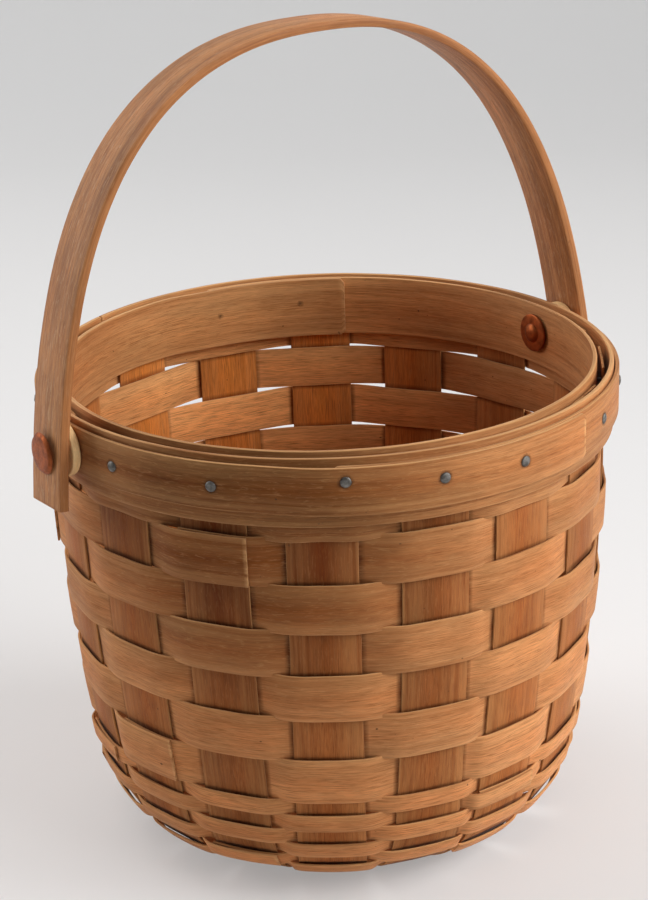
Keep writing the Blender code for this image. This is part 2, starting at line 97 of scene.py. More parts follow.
# The wall: upright behind the rim, then a long gentle bend, then the corner
stake_radius = 107.69 * MM
stake_top_depth = 2.5 * MM
straight_depth = 27.0 * MM
foot_lean = math.radians(9.5)
corner_radius = 42.0 * MM
corner_start = wide_rows_end + 15.0 * MM
wall_bend_radius = (corner_start - straight_depth) / foot_lean
corner_end = corner_start + corner_radius * (math.pi / 2 - foot_lean)
base_radius = (stake_radius - wall_bend_radius * (1 - math.cos(foot_lean))
               - corner_radius * math.cos(foot_lean))
rim_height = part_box("inner_rim_band")[1].z
base_height = 0.5 * MM

# The crossing under the base
level_step = 1.1 * MM
pair_blend_length = 11.0 * MM
pile_radius = 41.5 * MM
pile_blend_length = 19.0 * MM

# Rim, from the inside out
inner_band_outer_radius = 105.74 * MM
inner_band_width = 25.4 * MM
inner_band_thickness = 1.8 * MM
outer_band_inner_radius = 110.46 * MM
outer_band_width = 26.0 * MM
outer_band_thickness = 1.8 * MM
outer_band_drop = 0.3 * MM
hoop_inner_radius = 112.7 * MM
hoop_width = 17.9 * MM
hoop_thickness = 1.6 * MM
hoop_drop = 2.6 * MM
hoop_inner_end_angle = -122.2
hoop_outer_end_angle = -68.3
hoop_climb_angle = 14.0
inner_band_end_angle = 52.5
inner_band_lap_angle = 34.0
inner_band_climb_angle = 12.0
outer_band_end_angle = 115.0
layer_gap = 0.3 * MM
band_wave = 0.15 * MM
hoop_wave = 0.25 * MM
ring_step = 3                      # degrees from station to station round a band
worn_corners = ((0.0, 0.84), (0.25, 0.93), (0.7, 0.985), (1.4, 1.0))  # degrees from the end, width
square_corners = ((0.0, 1.0), (1.4, 1.0))

# Handle
pivot_height = frame["joints"][0]["pos_m"][2]
handle_width = 22.8 * MM
handle_top_thickness = 3.3 * MM
handle_leg_thickness = 4.0 * MM
handle_top_height = 142.9 * MM
handle_ear_length = 20.0 * MM
handle_foot_depth = 300.0 * MM
handle_side_power = 2.31
handle_crown_power = 5.58
handle_lean = math.radians(2.85)
handle_stations = 72

# Spacers, washers and rivets
bore_radius = 2.55 * MM
spacer_edge_round = 0.9 * MM
washer_edge_round = 0.4 * MM
washer_dish = 0.25 * MM
rivet_shank_radius = 2.25 * MM
rivet_peen_radius = 4.0 * MM
rivet_peen_height = 1.6 * MM
rivet_head_thickness = 1.5 * MM
rivet_crown_fall = 0.45 * MM       # from the middle of the head to its rim
turned_sides = 64

# Nails, one through each stake
nail_head_radius = 2.05 * MM
nail_head_height = 0.8 * MM
nail_shank_radius = 0.75 * MM
nail_shank_length = 9.0 * MM
nail_tilt = 0.07
nail_tip_depth = 12.6 * MM         # from under the head to its dark tip in the inner band
head_stain_radius = nail_head_radius + 0.6 * MM
tip_stain_radius = 1.1 * MM
stain_fade = 1.3 * MM
stain_raggedness = 1.6 * MM

# How light the wood of each splint and each row is, and where shade and light are painted on the wood:
# shade on the front left, a pool of light on the inner back wall and a paler sheen at the lower front
# right
splint_tones = (1.0, 0.94, 1.03, 0.97, 1.05, 0.95, 1.02, 0.98)
# The rows grow lighter down the wall: each row's own tone, with painted shade under the rim and painted
# light towards the foot
row_tones_and_painted_light = (0.9, 1.0, 1.12, 0.98, 1.08, 1.14, 1.2, 1.27, 1.2, 1.3, 1.24, 1.32, 1.28)
# Painted shade on the front left of the rim and the top rows, which face away from the lamps
painted_shade_place = (-88.0 * MM, -73.5 * MM, 168.0 * MM)
painted_shade_reach = 88.0 * MM
# A painted pool of light on the inner back wall
painted_light_place = (20.0 * MM, 103.0 * MM, 150.0 * MM)
painted_light_reach = 98.0 * MM
# A painted sheen, lighter and paler, on the lower front right of the wall
painted_sheen_place = (36.0 * MM, -92.0 * MM, 30.0 * MM)
painted_sheen_reach = 90.0 * MM
painted_sheen_tint = (1.32, 1.42, 1.55, 1)
# Painted shade in the crevices beside a crossing strip
painted_crevice_shade = (0.34, 0.24, 0.17, 1)
speck_tone = (0.04, 0.015, 0.008, 1)
stain_tone = (0.045, 0.022, 0.012, 1)

# How often each mark comes in a metre of wood: along, across and through the strip
ring_rate = (9, 420, 700)
broad_rate = (14, 95, 60)
fibre_rate = (120, 2300, 2300)
pore_rate = (140, 3900, 3900)
pale_fibre_rate = (190, 1300, 1300)
speck_rate = (380, 480, 480)
patch_rate = (34, 60, 60)
hue_rate = (19, 48, 48)
piece_rate = (3.1, 2, 2)

relief_depth = 0.1 * MM
crease_angle = math.radians(40)

# The camera, worked out from the rim, the pivots and the handle in the photo
camera_azimuth = math.radians(-32.65)
camera_rise = math.radians(18.68)
camera_distance = 0.9137
camera_dip = math.radians(21.03)
camera_roll = math.radians(-1.85)
camera_pan = math.radians(0.14)
camera_lens = 92.94
floor_drop = 0.3 * MM              # of the drawn floor, so that it never meets the base


def ease(share):
    share = min(max(share, 0.0), 1.0)
    return share * share * (3 - 2 * share)


def splint_angle(splint):
    return first_stake_angle + (splint + splint_turn_shares[splint]) * stake_turn


def stake_angle(stake, radius=stake_radius):
    """Where a stake stands, at a radius: its splint passes beside the axis, not through it."""
    splint_count = stake_count // 2
    splint = stake % splint_count
    aside = math.asin(splint_aside_shares[splint] * splint_width / radius)
    if stake // splint_count % 2 == 0:
        return splint_angle(splint) + aside
    return splint_angle(splint) + math.pi - aside


def wall_point(depth):
    """Radius, height and lean of the stakes' middle, at a depth measured down the wall."""
    if depth <= straight_depth:
        return stake_radius, rim_height - depth, 0.0
    if depth <= corner_start:
        lean = (depth - straight_depth) / wall_bend_radius
        radius = stake_radius - wall_bend_radius * (1 - math.cos(lean))
        return radius, rim_height - straight_depth - wall_bend_radius * math.sin(lean), lean
    if depth <= corner_end:
        lean = foot_lean + (depth - corner_start) / corner_radius
        height = base_height + corner_radius * (1 - math.sin(lean))
        return base_radius + corner_radius * math.cos(lean), height, lean
    return base_radius - (depth - corner_end), base_height, math.pi / 2


# Node trees


def set_inputs(tree, node, values):
    """Sets or links a node's inputs, by name or number."""
    for key, value in values.items():
        if isinstance(value, bpy.types.Node):
            value = value.outputs[0]
        if isinstance(value, bpy.types.NodeSocket):
            tree.links.new(value, node.inputs[key])
        else:
            node.inputs[key].default_value = value


def add_node(tree, kind, values=None, **settings):
    node = tree.nodes.new(kind)
    for key, value in settings.items():
        setattr(node, key, value)
    set_inputs(tree, node, values or {})
    return node


def maths(tree, operation, *values):
    return add_node(tree, "ShaderNodeMath", dict(enumerate(values)), operation=operation).outputs[0]


def times(tree, first, second):
    return maths(tree, "MULTIPLY", first, second)


def vector_maths(tree, operation, *values):
    return add_node(tree, "ShaderNodeVectorMath", dict(enumerate(values)), operation=operation)


def scaled(tree, vector, factor):
    return add_node(tree, "ShaderNodeVectorMath", {"Vector": vector, "Scale": factor},
                    operation="SCALE")


def xyz(tree, x, y, z):
    return add_node(tree, "ShaderNodeCombineXYZ", {0: x, 1: y, 2: z})


def named(tree, name, kind="FLOAT"):
    return add_node(tree, "GeometryNodeInputNamedAttribute", {"Name": name}, data_type=kind)


def captured(tree, geometry, kind, value, label):
    """Keeps a field on the geometry. Gives back the geometry and the kept value."""
    node = tree.nodes.new("GeometryNodeCaptureAttribute")
    node.capture_items.new(kind, label)
    tree.links.new(geometry, node.inputs[0])
    tree.links.new(value, node.inputs[1])
    return node.outputs[0], node.outputs[1]


def new_group(name, inputs):
    """A geometry tree with named inputs: each a number or, where it starts empty, a material."""
    tree = bpy.data.node_groups.new(name, "GeometryNodeTree")
    tree.interface.new_socket("Geometry", in_out="INPUT", socket_type="NodeSocketGeometry")
    for label, value in inputs.items():
        kind = "NodeSocketMaterial" if value is None else "NodeSocketFloat"
        socket = tree.interface.new_socket(label, in_out="INPUT", socket_type=kind)
        if value is not None:
            socket.default_value = value
    tree.interface.new_socket("Geometry", in_out="OUTPUT", socket_type="NodeSocketGeometry")
    return tree, tree.nodes.new("NodeGroupInput").outputs, tree.nodes.new("NodeGroupOutput").inputs[0]


def dress(tree, geometry, material, result):
    """Ends a tree: real geometry, in its material."""
    whole = add_node(tree, "GeometryNodeRealizeInstances", {"Geometry": geometry})
    dressed = add_node(tree, "GeometryNodeSetMaterial", {"Geometry": whole, "Material": material})
    tree.links.new(dressed.outputs[0], result)


def strip_profile(tree, width, thickness, rounding):
    """The strip's section: across in X, through in Y, with rounded edges."""
    box = add_node(tree, "GeometryNodeCurvePrimitiveQuadrilateral", {0: width, 1: thickness})
    fillet = add_node(tree, "GeometryNodeFilletCurve", {"Curve": box, "Count": 2, "Radius": rounding},
                      mode="POLY")
    return add_node(tree, "GeometryNodeSubdivideCurve", {"Curve": fillet, "Cuts": 1}).outputs[0]


def unevenness(tree, along, across, seed, rate, spread, detail):
    """Slow noise along a strip, up to a half either way."""
    place = xyz(tree, times(tree, along, rate), times(tree, across, spread), seed)
    wave = add_node(tree, "ShaderNodeTexNoise", {"Vector": place, "Scale": 1.0, "Detail": detail})
    return maths(tree, "SUBTRACT", wave, 0.5)


def make_strip_group():
    """Bends a flat strip of wood along a line that carries its own out and side directions."""
    tree, given, result = new_group("bent_strip", {
        "Width": 0.01, "Thickness": 0.001, "Edge Round": 0.0003, "Step": 0.0015, "Cup": 0.0,
        "Edge Wobble": 0.0, "Face Wobble": 0.0, "Seed": 0.0, "Tone": 1.0, "Wood": None})
    line = add_node(tree, "GeometryNodeMeshToCurve", {"Mesh": given["Geometry"]})
    smooth = add_node(tree, "GeometryNodeCurveSplineType", {"Curve": line}, spline_type="CATMULL_ROM")
    path = add_node(tree, "GeometryNodeResampleCurve", {"Curve": smooth, "Length": given["Step"]},
                    mode="LENGTH").outputs[0]
    place = add_node(tree, "GeometryNodeInputPosition").outputs[0]
    run = add_node(tree, "GeometryNodeSplineParameter").outputs["Length"]
    path_curve, path_place = captured(tree, path, "VECTOR", place, "place")
    path_curve, along = captured(tree, path_curve, "FLOAT", run, "along")
    section = strip_profile(tree, given["Width"], given["Thickness"], given["Edge Round"])
    section_curve, section_place = captured(tree, section, "VECTOR", place, "section")
    skin = add_node(tree, "GeometryNodeCurveToMesh",
                    {"Curve": path_curve, "Profile Curve": section_curve, "Fill Caps": True})

    parts = add_node(tree, "ShaderNodeSeparateXYZ", {0: section_place}).outputs
    across, through = parts["X"], parts["Y"]
    half_width = times(tree, given["Width"], 0.5)
    edge_share = maths(tree, "DIVIDE", across, half_width)
    edge_square = times(tree, edge_share, edge_share)
    ripple = unevenness(tree, along, edge_share, given["Seed"], 34.0, 0.6, 3.0)
    edge_shift = times(tree, times(tree, ripple, given["Edge Wobble"]), edge_square)
    face_seed = maths(tree, "ADD", given["Seed"], 7.0)
    face = unevenness(tree, along, edge_share, face_seed, 22.0, 0.8, 2.0)
    face_shift = times(tree, face, given["Face Wobble"])
    cup = times(tree, times(tree, edge_square, given["Cup"]), named(tree, "cup"))

    sideways = maths(tree, "ADD", times(tree, across, named(tree, "wide")), edge_shift)
    thick_part = times(tree, through, named(tree, "thick"))
    outwards = maths(tree, "SUBTRACT", maths(tree, "ADD", thick_part, face_shift), cup)
    side = vector_maths(tree, "NORMALIZE", named(tree, "side", "FLOAT_VECTOR"))
    out = vector_maths(tree, "NORMALIZE", named(tree, "out", "FLOAT_VECTOR"))
    shift = vector_maths(tree, "ADD", scaled(tree, side, sideways), scaled(tree, out, outwards))
    moved = vector_maths(tree, "ADD", path_place, shift)
    marked = add_node(tree, "GeometryNodeSetPosition", {"Geometry": skin, "Position": moved})

    start = times(tree, given["Seed"], 0.37)
    grain = xyz(tree, maths(tree, "ADD", along, start), across, through)
    # The cut share marks the strip's edges and ends, which take the edge colour; where that is paler
    # than the face it is a painted highlight
    rounded_part = times(tree, given["Edge Round"], 1.6)
    side_cut = add_node(tree, "ShaderNodeMapRange", {
        "Value": maths(tree, "ABSOLUTE", across),
        "From Min": maths(tree, "SUBTRACT", half_width, rounded_part), "From Max": half_width})
    length = add_node(tree, "GeometryNodeCurveLength", {"Curve": path})
    to_end = maths(tree, "MINIMUM", along, maths(tree, "SUBTRACT", length, along))
    end_cut = add_node(tree, "ShaderNodeMapRange",
                       {"Value": to_end, "From Min": 0.6 * MM, "From Max": 0.0})
    cut = maths(tree, "MAXIMUM", side_cut, end_cut)
    for name, kind, value in (("grain", "FLOAT_VECTOR", grain), ("cut", "FLOAT", cut),
                              ("tone", "FLOAT", given["Tone"])):
        marked = add_node(tree, "GeometryNodeStoreNamedAttribute",
                          {"Geometry": marked, "Name": name, "Value": value},
                          data_type=kind, domain="POINT")
    dress(tree, marked, given["Wood"], result)
    return tree


def new_object(name, data):
    thing = bpy.data.objects.new(name, data)
    bpy.context.scene.collection.objects.link(thing)
    return thing


def run_group(name, base, tree, values):
    """Runs a geometry tree on a mesh, its inputs set by their identifiers, and keeps the result."""
    holder = new_object(name, base)
    modifier = holder.modifiers.new("shape", "NODES")
    modifier.node_group = tree
    for item in tree.interface.items_tree:
        if item.item_type == "SOCKET" and item.in_out == "INPUT" and item.name in values:
            modifier[item.identifier] = values[item.name]
    graph = bpy.context.evaluated_depsgraph_get()
    mesh = bpy.data.meshes.new_from_object(holder.evaluated_get(graph))
    bpy.data.objects.remove(holder, do_unlink=True)
    finish_skin(mesh)
    return new_object(name, mesh)


def finish_skin(mesh):
    """Faces outward, and smooth but for the creases."""
    bm = bmesh.new()
    bm.from_mesh(mesh)
    bmesh.ops.recalc_face_normals(bm, faces=bm.faces)
    if bm.calc_volume(signed=True) < 0:
        bmesh.ops.reverse_faces(bm, faces=bm.faces)
    bm.to_mesh(mesh)
    bm.free()
    mesh.shade_smooth()
    mesh.set_sharp_from_angle(angle=crease_angle)


class Station:
    """One place on a strip's path, with the directions of its face and its edge."""

    def __init__(self, place, out, side, wide=1.0, thick=1.0, cup=1.0, tuck=0.0):
        self.place = place
        self.out = out
        self.side = side
        self.wide = wide
        self.thick = thick
        self.cup = cup
        self.tuck = tuck


def path_mesh(name, stations):
    mesh = bpy.data.meshes.new(name)
    edges = [(i, i + 1) for i in range(len(stations) - 1)]
    mesh.from_pydata([station.place for station in stations], edges, [])
    for key in ("out", "side"):
        data = mesh.attributes.new(key, "FLOAT_VECTOR", "POINT").data
        for value, station in zip(data, stations):
            value.vector = getattr(station, key)
    for key in ("wide", "thick", "cup", "tuck"):
        data = mesh.attributes.new(key, "FLOAT", "POINT").data
        for value, station in zip(data, stations):
            value.value = getattr(station, key)
    return mesh


def make_strip(node, stations, values, body="basket"):
    """A finished strip that stands for a CAD node."""
    piece = run_group(f"{node}_wood", path_mesh(node, stations), strip_group, values)
    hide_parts(node)
    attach(piece, body)
    return piece


# The woven body


def splint_level(splint):
    if splint % 2 == 0:
        return splint // 2
    return stake_count // 4 + splint // 2


def splint_rise(splint, depth):
    """How far a splint lies in from the common wall, where splints cross under the base."""
    level = splint_level(splint)
    pair = splint % 2
    pair_share = ease((depth - weave_end) / pair_blend_length)
    run_in = corner_end + base_radius - pile_radius - depth
    pile_share = ease(1 - run_in / pile_blend_length)
    return level_step * (pair * pair_share + (level - pair) * pile_share)


def row_borders():
    borders = [first_row_depth + i * wide_row_pitch for i in range(wide_row_count + 1)]
    borders += [wide_rows_end + (i + 1) * narrow_row_pitch for i in range(narrow_row_count)]
    return borders


def woven_rows():
    """Each row's number, with the depths of its top and bottom."""
    borders = row_borders()
    return list(enumerate(zip(borders[:-1], borders[1:])))


def splint_depths():
    """Stations down a splint: the middle and the border of each row, then round to the base."""
    depths = [stake_top_depth, stake_top_depth + 5 * MM]
    for row, (top, bottom) in woven_rows():
        depths += [top, (top + bottom) / 2]
    depths.append(row_borders()[-1])
    pile_end = corner_end + base_radius - pile_radius
    for start, end, count in ((weave_end, corner_end, 7), (corner_end, pile_end, 7),
                              (pile_end, pile_end + pile_radius, 3)):
        depths += [start + (end - start) * (i + 1) / count for i in range(count)]
    return depths


def weaver_side(stake, depth):
    """One where a weaver passes outside the stake, minus one where inside, and nothing between rows."""
    for row, (top, bottom) in woven_rows():
        if top < depth < bottom:
            return 1 if stake % 2 == row % 2 else -1
    return 0


def splint_stations(splint):
    """Down one stake, across the base beside the axis, and up the stake opposite."""
    stations = []
    aside = splint_aside_shares[splint] * splint_width
    for half in (0, 1):
        turn = Matrix.Rotation(splint_angle(splint) + half * math.pi, 4, "Z")
        offset = -aside if half else aside
        row = []
        for depth in splint_depths():
            radius, height, lean = wall_point(depth)
            stake = splint + half * stake_count // 2
            crossing = weaver_side(stake, depth)
            rise = splint_rise(splint, depth) + crossing * stake_give
            reach = radius - rise * math.cos(lean)
            facing = 1 - ease((depth - corner_end) / (base_radius - pile_radius))
            along = math.sqrt(max(reach ** 2 - offset ** 2, 0.0))
            out_turn = Matrix.Rotation(math.atan2(offset, max(along, pile_radius)) * facing, 4, "Z")
            place = Vector((along, offset, height + rise * math.sin(lean)))
            out = out_turn @ Vector((math.cos(lean), 0, -math.sin(lean)))
            side = turn @ out_turn @ Vector((0, -1 if half else 1, 0))
            woven = first_row_depth <= depth <= weave_end
            # tuck is one where a weaver covers the stake; the stake's wood is painted with shade beside
            # it
            tuck = (1 + crossing) / 2 if woven else 1.0
            row.append(Station(turn @ place, turn @ out, side, tuck=tuck))
        stations += row[-2::-1] if half else row
    return stations


def make_splints():
    for splint in range(stake_count // 2):
        values = {"Width": splint_width, "Thickness": splint_thickness, "Edge Round": 0.22 * MM,
                  "Step": 2.0 * MM, "Cup": 0.25 * MM, "Edge Wobble": 0.7 * MM, "Face Wobble": 0.15 * MM,
                  "Seed": 3.0 + splint * 1.7, "Tone": splint_tones[splint], "Wood": materials["stake"]}
        make_strip(f"splint_{splint + 1}", splint_stations(splint), values)


def weaver_stations(top_depth, bottom_depth, first_side, lap_stake, bow, lapped, dice):
    """Once round: over one stake and behind the next. A lapped row ends outside its own start."""
    top = Vector(wall_point(top_depth)[:2])
    bottom = Vector(wall_point(bottom_depth)[:2])
    down = (bottom - top).normalized()
    middle = (top + bottom) / 2
    normal = Vector((-down.y, down.x))
    stations = []

    def station(stake, run, offset, cup, shift, wide):
        turn = Matrix.Rotation(stake_angle(stake, middle.x), 4, "Z")
        flat = middle + normal * offset - down * shift
        place = turn @ Vector((flat.x, run, flat.y))
        out = turn @ Vector((normal.x, 0, normal.y))
        side = turn @ Vector((-down.x, 0, -down.y))
        out = Matrix.Rotation(math.atan2(run, stake_radius), 4, "Z") @ out
        # tuck is one where the weaver passes behind a stake; its wood is painted with shade there
        stations.append(Station(place, out, side, wide, 1.0, cup, 1.0 if cup < 0 else 0.0))

    for step in range(stake_count + 1):
        stake = lap_stake + step
        outside = stake % 2 == first_side
        sign = 1.0 if outside else -1.0
        offset = weaver_seat * sign
        crown = offset + (bow if outside else -bow * inner_bow_share)
        start = -weaver_half_run
        mid_run = 0.0
        if step == stake_count and lapped:
            offset += lap_lift
            crown += lap_lift
            start -= lap_lead
        elif step == stake_count:
            mid_run = -row_end_gap
        elif step == 0 and not lapped:
            mid_run = row_end_gap
        shift = dice.uniform(-1, 1) * row_shift
        wide = 1 + dice.uniform(-1, 1) * row_width_share
        facing = math.cos(stake_angle(stake) - closest_side)
        wide += max(facing, 0.0) ** 2 * closest_share
        if step > 0 or lapped:
            station(stake, start, offset, sign * edge_cup_share, shift, wide)
        station(stake, mid_run, crown, sign, shift, wide)
        if step < stake_count or lapped:
            station(stake, weaver_half_run, offset, sign * edge_cup_share, shift, wide)
    return stations


def make_weavers():
    dice = random.Random(11)
    for row, (top, bottom) in woven_rows():
        wide_row = row < wide_row_count
        number = row + 1 if wide_row else row - wide_row_count + 1
        kind = "wide" if wide_row else "narrow"
        lap_stake = wide_lap_stakes[row] if wide_row else narrow_lap_stakes[row - wide_row_count]
        first_side = row % 2
        lap_stake += (lap_stake + first_side) % 2
        gap = wide_row_gap if wide_row else narrow_row_gap
        bow = hidden_bow if row == 0 else over_bow
        stations = weaver_stations(top, bottom, first_side, lap_stake, bow, row > 0, dice)
        height = (Vector(wall_point(top)[:2]) - Vector(wall_point(bottom)[:2])).length - gap
        values = {"Width": height, "Thickness": weaver_thickness, "Edge Round": 0.2 * MM,
                  "Step": 1.5 * MM, "Cup": 0.22 * MM if wide_row else 0.1 * MM,
                  "Edge Wobble": 0.8 * MM if wide_row else 0.4 * MM, "Face Wobble": 0.2 * MM,
                  "Seed": 40.0 + row * 2.3, "Tone": row_tones_and_painted_light[row], "Wood": materials["weaver"]}
        make_strip(f"{kind}_weaver_{number}", stations, values)


# The rim


def ring_stations(start, sweep, middle, height, worn_ends=True):
    """A band on edge, from start through sweep degrees, with middle(travel) its radius.

    Its ends are cut square, and worn ends have their corners knocked off.
    """
    count = round(sweep / ring_step)
    corners = worn_corners if worn_ends else square_corners
    stops = list(corners)
    stops += [(sweep * i / count, 1.0) for i in range(1, count)]
    stops += [(sweep - travel, wide) for travel, wide in reversed(corners)]
    stations = []
    for travel, wide in stops:
        turn = Matrix.Rotation(math.radians(start + travel), 4, "Z")
        place = turn @ Vector((middle(travel), 0, 0)) + Vector((0, 0, height(travel)))
        stations.append(Station(place, turn @ Vector((1, 0, 0)), Vector((0, 0, 1)), wide, 1.0, 0.0))
    return stations


def slow_wave(travel, phase):
    """A gentle unevenness round the rim, within one either way."""
    turn = math.radians(travel)
    return (math.sin(2 * turn + phase) + math.sin(5 * turn + 2.1 * phase) * 0.5) / 1.5


def make_rim_strip(node, stations, width, thickness, seed):
    values = {"Width": width, "Thickness": thickness, "Edge Round": 0.35 * MM, "Step": 1.6 * MM,
              "Edge Wobble": 0.35 * MM, "Face Wobble": 0.18 * MM, "Seed": seed,
              "Wood": materials["rim"]}
    make_strip(node, stations, values)


def make_inner_band():
    sweep = 360 + inner_band_lap_angle
    start = inner_band_end_angle + inner_band_lap_angle - sweep

    def middle(travel):
        lift = ease((sweep - travel - 360 + inner_band_climb_angle) / inner_band_climb_angle)
        layer = inner_band_thickness + layer_gap
        return inner_band_outer_radius - inner_band_thickness / 2 - lift * layer

    def height(travel):
        return rim_height - inner_band_width / 2 - band_wave + band_wave * slow_wave(travel, 0.7)

    stations = ring_stations(start, sweep, middle, height)
    make_rim_strip("inner_rim_band", stations, inner_band_width, inner_band_thickness, 91.0)


def make_outer_band():
    sweep = 359.6

    def middle(travel):
        return outer_band_inner_radius + outer_band_thickness / 2

    def height(travel):
        middle_height = rim_height - outer_band_drop - outer_band_width / 2
        return middle_height - band_wave + band_wave * slow_wave(travel, 2.9)

    stations = ring_stations(outer_band_end_angle, sweep, middle, height, False)
    make_rim_strip("outer_rim_band", stations, outer_band_width, outer_band_thickness, 97.0)


def hoop_rise(travel):
    """How far the hoop stands out over its own start, after a travel in degrees."""
    lift = ease((travel - 360 + hoop_climb_angle) / hoop_climb_angle)
    return lift * (hoop_thickness + layer_gap)


def make_hoop():
    sweep = 360 + hoop_outer_end_angle - hoop_inner_end_angle

    def middle(travel):
        return hoop_inner_radius + hoop_thickness / 2 + hoop_rise(travel)

    def height(travel):
        return rim_height - hoop_drop - hoop_width / 2 + hoop_wave * slow_wave(travel, 4.4)

    stations = ring_stations(hoop_inner_end_angle, sweep, middle, height)
    make_rim_strip("outer_rim_hoop", stations, hoop_width, hoop_thickness, 103.0)


# The handle


def handle_half_span(height):
    share = (height + handle_foot_depth) / (handle_top_height + handle_foot_depth)
    return (1 - share ** handle_crown_power) ** (1 / handle_side_power)


def make_handle():
    spacer_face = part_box("right_spacer")[1].x
    spacer_rim = (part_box("right_spacer")[1].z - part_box("right_spacer")[0].z) / 2
    widest = (spacer_face + layer_gap + handle_leg_thickness) / handle_half_span(spacer_rim)
    rise = handle_top_height + handle_foot_depth
    ear_share = (handle_foot_depth - handle_ear_length) / rise
    first_turn = math.asin(ear_share ** (handle_crown_power / 2))
    count = handle_stations
    curve = []
    for i in range(count + 1):
        turn = first_turn + (math.pi - 2 * first_turn) * i / count
        across = math.copysign(abs(math.cos(turn)) ** (2 / handle_side_power), math.cos(turn))
        curve.append(Vector((widest * across, rise * math.sin(turn) ** (2 / handle_crown_power)
                             - handle_foot_depth)))
    lean = Matrix.Rotation(-handle_lean, 4, "X")
    stand = Matrix.Translation((0, 0, pivot_height)) @ lean
    side = lean @ Vector((0, 1, 0))
    reach = max(point.x for point in curve)
    stations = []
    for i, point in enumerate(curve):
        forward = (curve[min(i + 1, count)] - curve[max(i - 1, 0)]).normalized()
        out = Vector((forward.y, -forward.x))
        share = abs(point.x / reach) ** 4
        thickness = handle_top_thickness + (handle_leg_thickness - handle_top_thickness) * share
        middle = point - out * thickness / 2
        place = stand @ Vector((middle.x, 0, middle.y))
        away = lean @ Vector((out.x, 0, out.y))
        stations.append(Station(place, away, side, 1.0, thickness / handle_leg_thickness, 0.0))
    values = {"Width": handle_width, "Thickness": handle_leg_thickness, "Edge Round": 0.9 * MM,
              "Step": 1.6 * MM, "Edge Wobble": 0.5 * MM, "Face Wobble": 0.25 * MM,
              "Seed": 120.0, "Wood": materials["handle"]}
    make_strip("handle", stations, values, "handle")


# Turned and forged pieces


def turned(name, outline, material):
    """A solid turned about X from (x, radius) points: a closed ring, or its ends on the axis."""
    sides = turned_sides
    bm = bmesh.new()
    rings = []
    for x, radius in outline:
        count = sides if radius > 0 else 1
        turns = [2 * math.pi * i / sides for i in range(count)]
        rings.append([bm.verts.new((x, radius * math.cos(a), radius * math.sin(a))) for a in turns])
    pairs = list(zip(rings[:-1], rings[1:]))
    if outline[0][1] > 0:
        pairs.append((rings[-1], rings[0]))
    for ring, following in pairs:
        for i in range(sides):
            j = (i + 1) % sides
            corners = (ring[i % len(ring)], ring[j % len(ring)],
                       following[j % len(following)], following[i % len(following)])
            bm.faces.new(dict.fromkeys(corners))
    mesh = bpy.data.meshes.new(name)
    bm.to_mesh(mesh)
    bm.free()
    mesh.materials.append(material)
    return new_object(name, mesh)


def rounded(points, radius, steps=3):
    """The outline with each marked corner rounded: points are (x, r) or (x, r, share of the radius)."""
    smooth = []
    for i, point in enumerate(points):
        here = Vector(point[:2])
        share = point[2] if len(point) > 2 else 0.0
        if share == 0:
            smooth.append(tuple(here))
            continue
        before = Vector(points[i - 1][:2]) - here
        after = Vector(points[(i + 1) % len(points)][:2]) - here
        size = min(radius * share, before.length * 0.45, after.length * 0.45)
        start = here + before.normalized() * size
        end = here + after.normalized() * size
        for step in range(steps + 1):
            t = step / steps
            smooth.append(tuple(start * (1 - t) ** 2 + here * 2 * t * (1 - t) + end * t ** 2))
    return smooth


def seat_turned(name, outline, side, node, slot, body="basket"):
    """Turns a piece for +X, moves it to its own side of the pivots' axis and stands it for its node."""
    piece = turned(name, outline, materials[slot])
    turn = Matrix.Rotation(0 if side > 0 else math.pi, 4, "Z")
    piece.data.transform(Matrix.Translation((0, 0, pivot_height)) @ turn)
    finish_skin(piece.data)
    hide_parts(node)
    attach(piece, body)


def reach_and_rim(low, high):
    """How near to the basket's axis a pivot piece starts, how far it goes, and its radius."""
    near, far = sorted((abs(low.x), abs(high.x)))
    return near, far, (high.z - low.z) / 2


def make_pivots():
    for name, side in (("left", -1), ("right", 1)):
        near, far, rim = reach_and_rim(*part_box(f"{name}_spacer"))
        outline = rounded([(near, bore_radius), (near, rim, 1), (far, rim, 1), (far, bore_radius)],
                          spacer_edge_round)
        seat_turned(f"{name}_spacer_wood", outline, side, f"{name}_spacer", "spacer")

        near, far, rim = reach_and_rim(*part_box(f"{name}_washer"))
        outline = rounded([(near, bore_radius), (near - washer_dish, rim * 0.45, 1), (near, rim, 1),
                           (far, rim, 1), (far, bore_radius)], washer_edge_round)
        seat_turned(f"{name}_washer_copper", outline, side, f"{name}_washer", "copper")

        near, far, head = reach_and_rim(*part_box(f"{name}_rivet"))
        seat = far - rivet_head_thickness
        dome = [(near + rivet_peen_height * (1 - math.cos(a)), rivet_peen_radius * math.sin(a))
                for a in (math.radians(90 * i / 8) for i in range(9))]
        crown = [(far - rivet_crown_fall * (r / head) ** 3, r)
                 for r in (head * (1 - i / 8) for i in range(1, 9))]
        outline = dome + [(near + rivet_peen_height, rivet_shank_radius), (seat, rivet_shank_radius),
                          (seat, head * 0.97), (seat + 0.2 * MM, head)] + crown
        seat_turned(f"{name}_rivet_copper", outline, side, f"{name}_rivet", "copper")


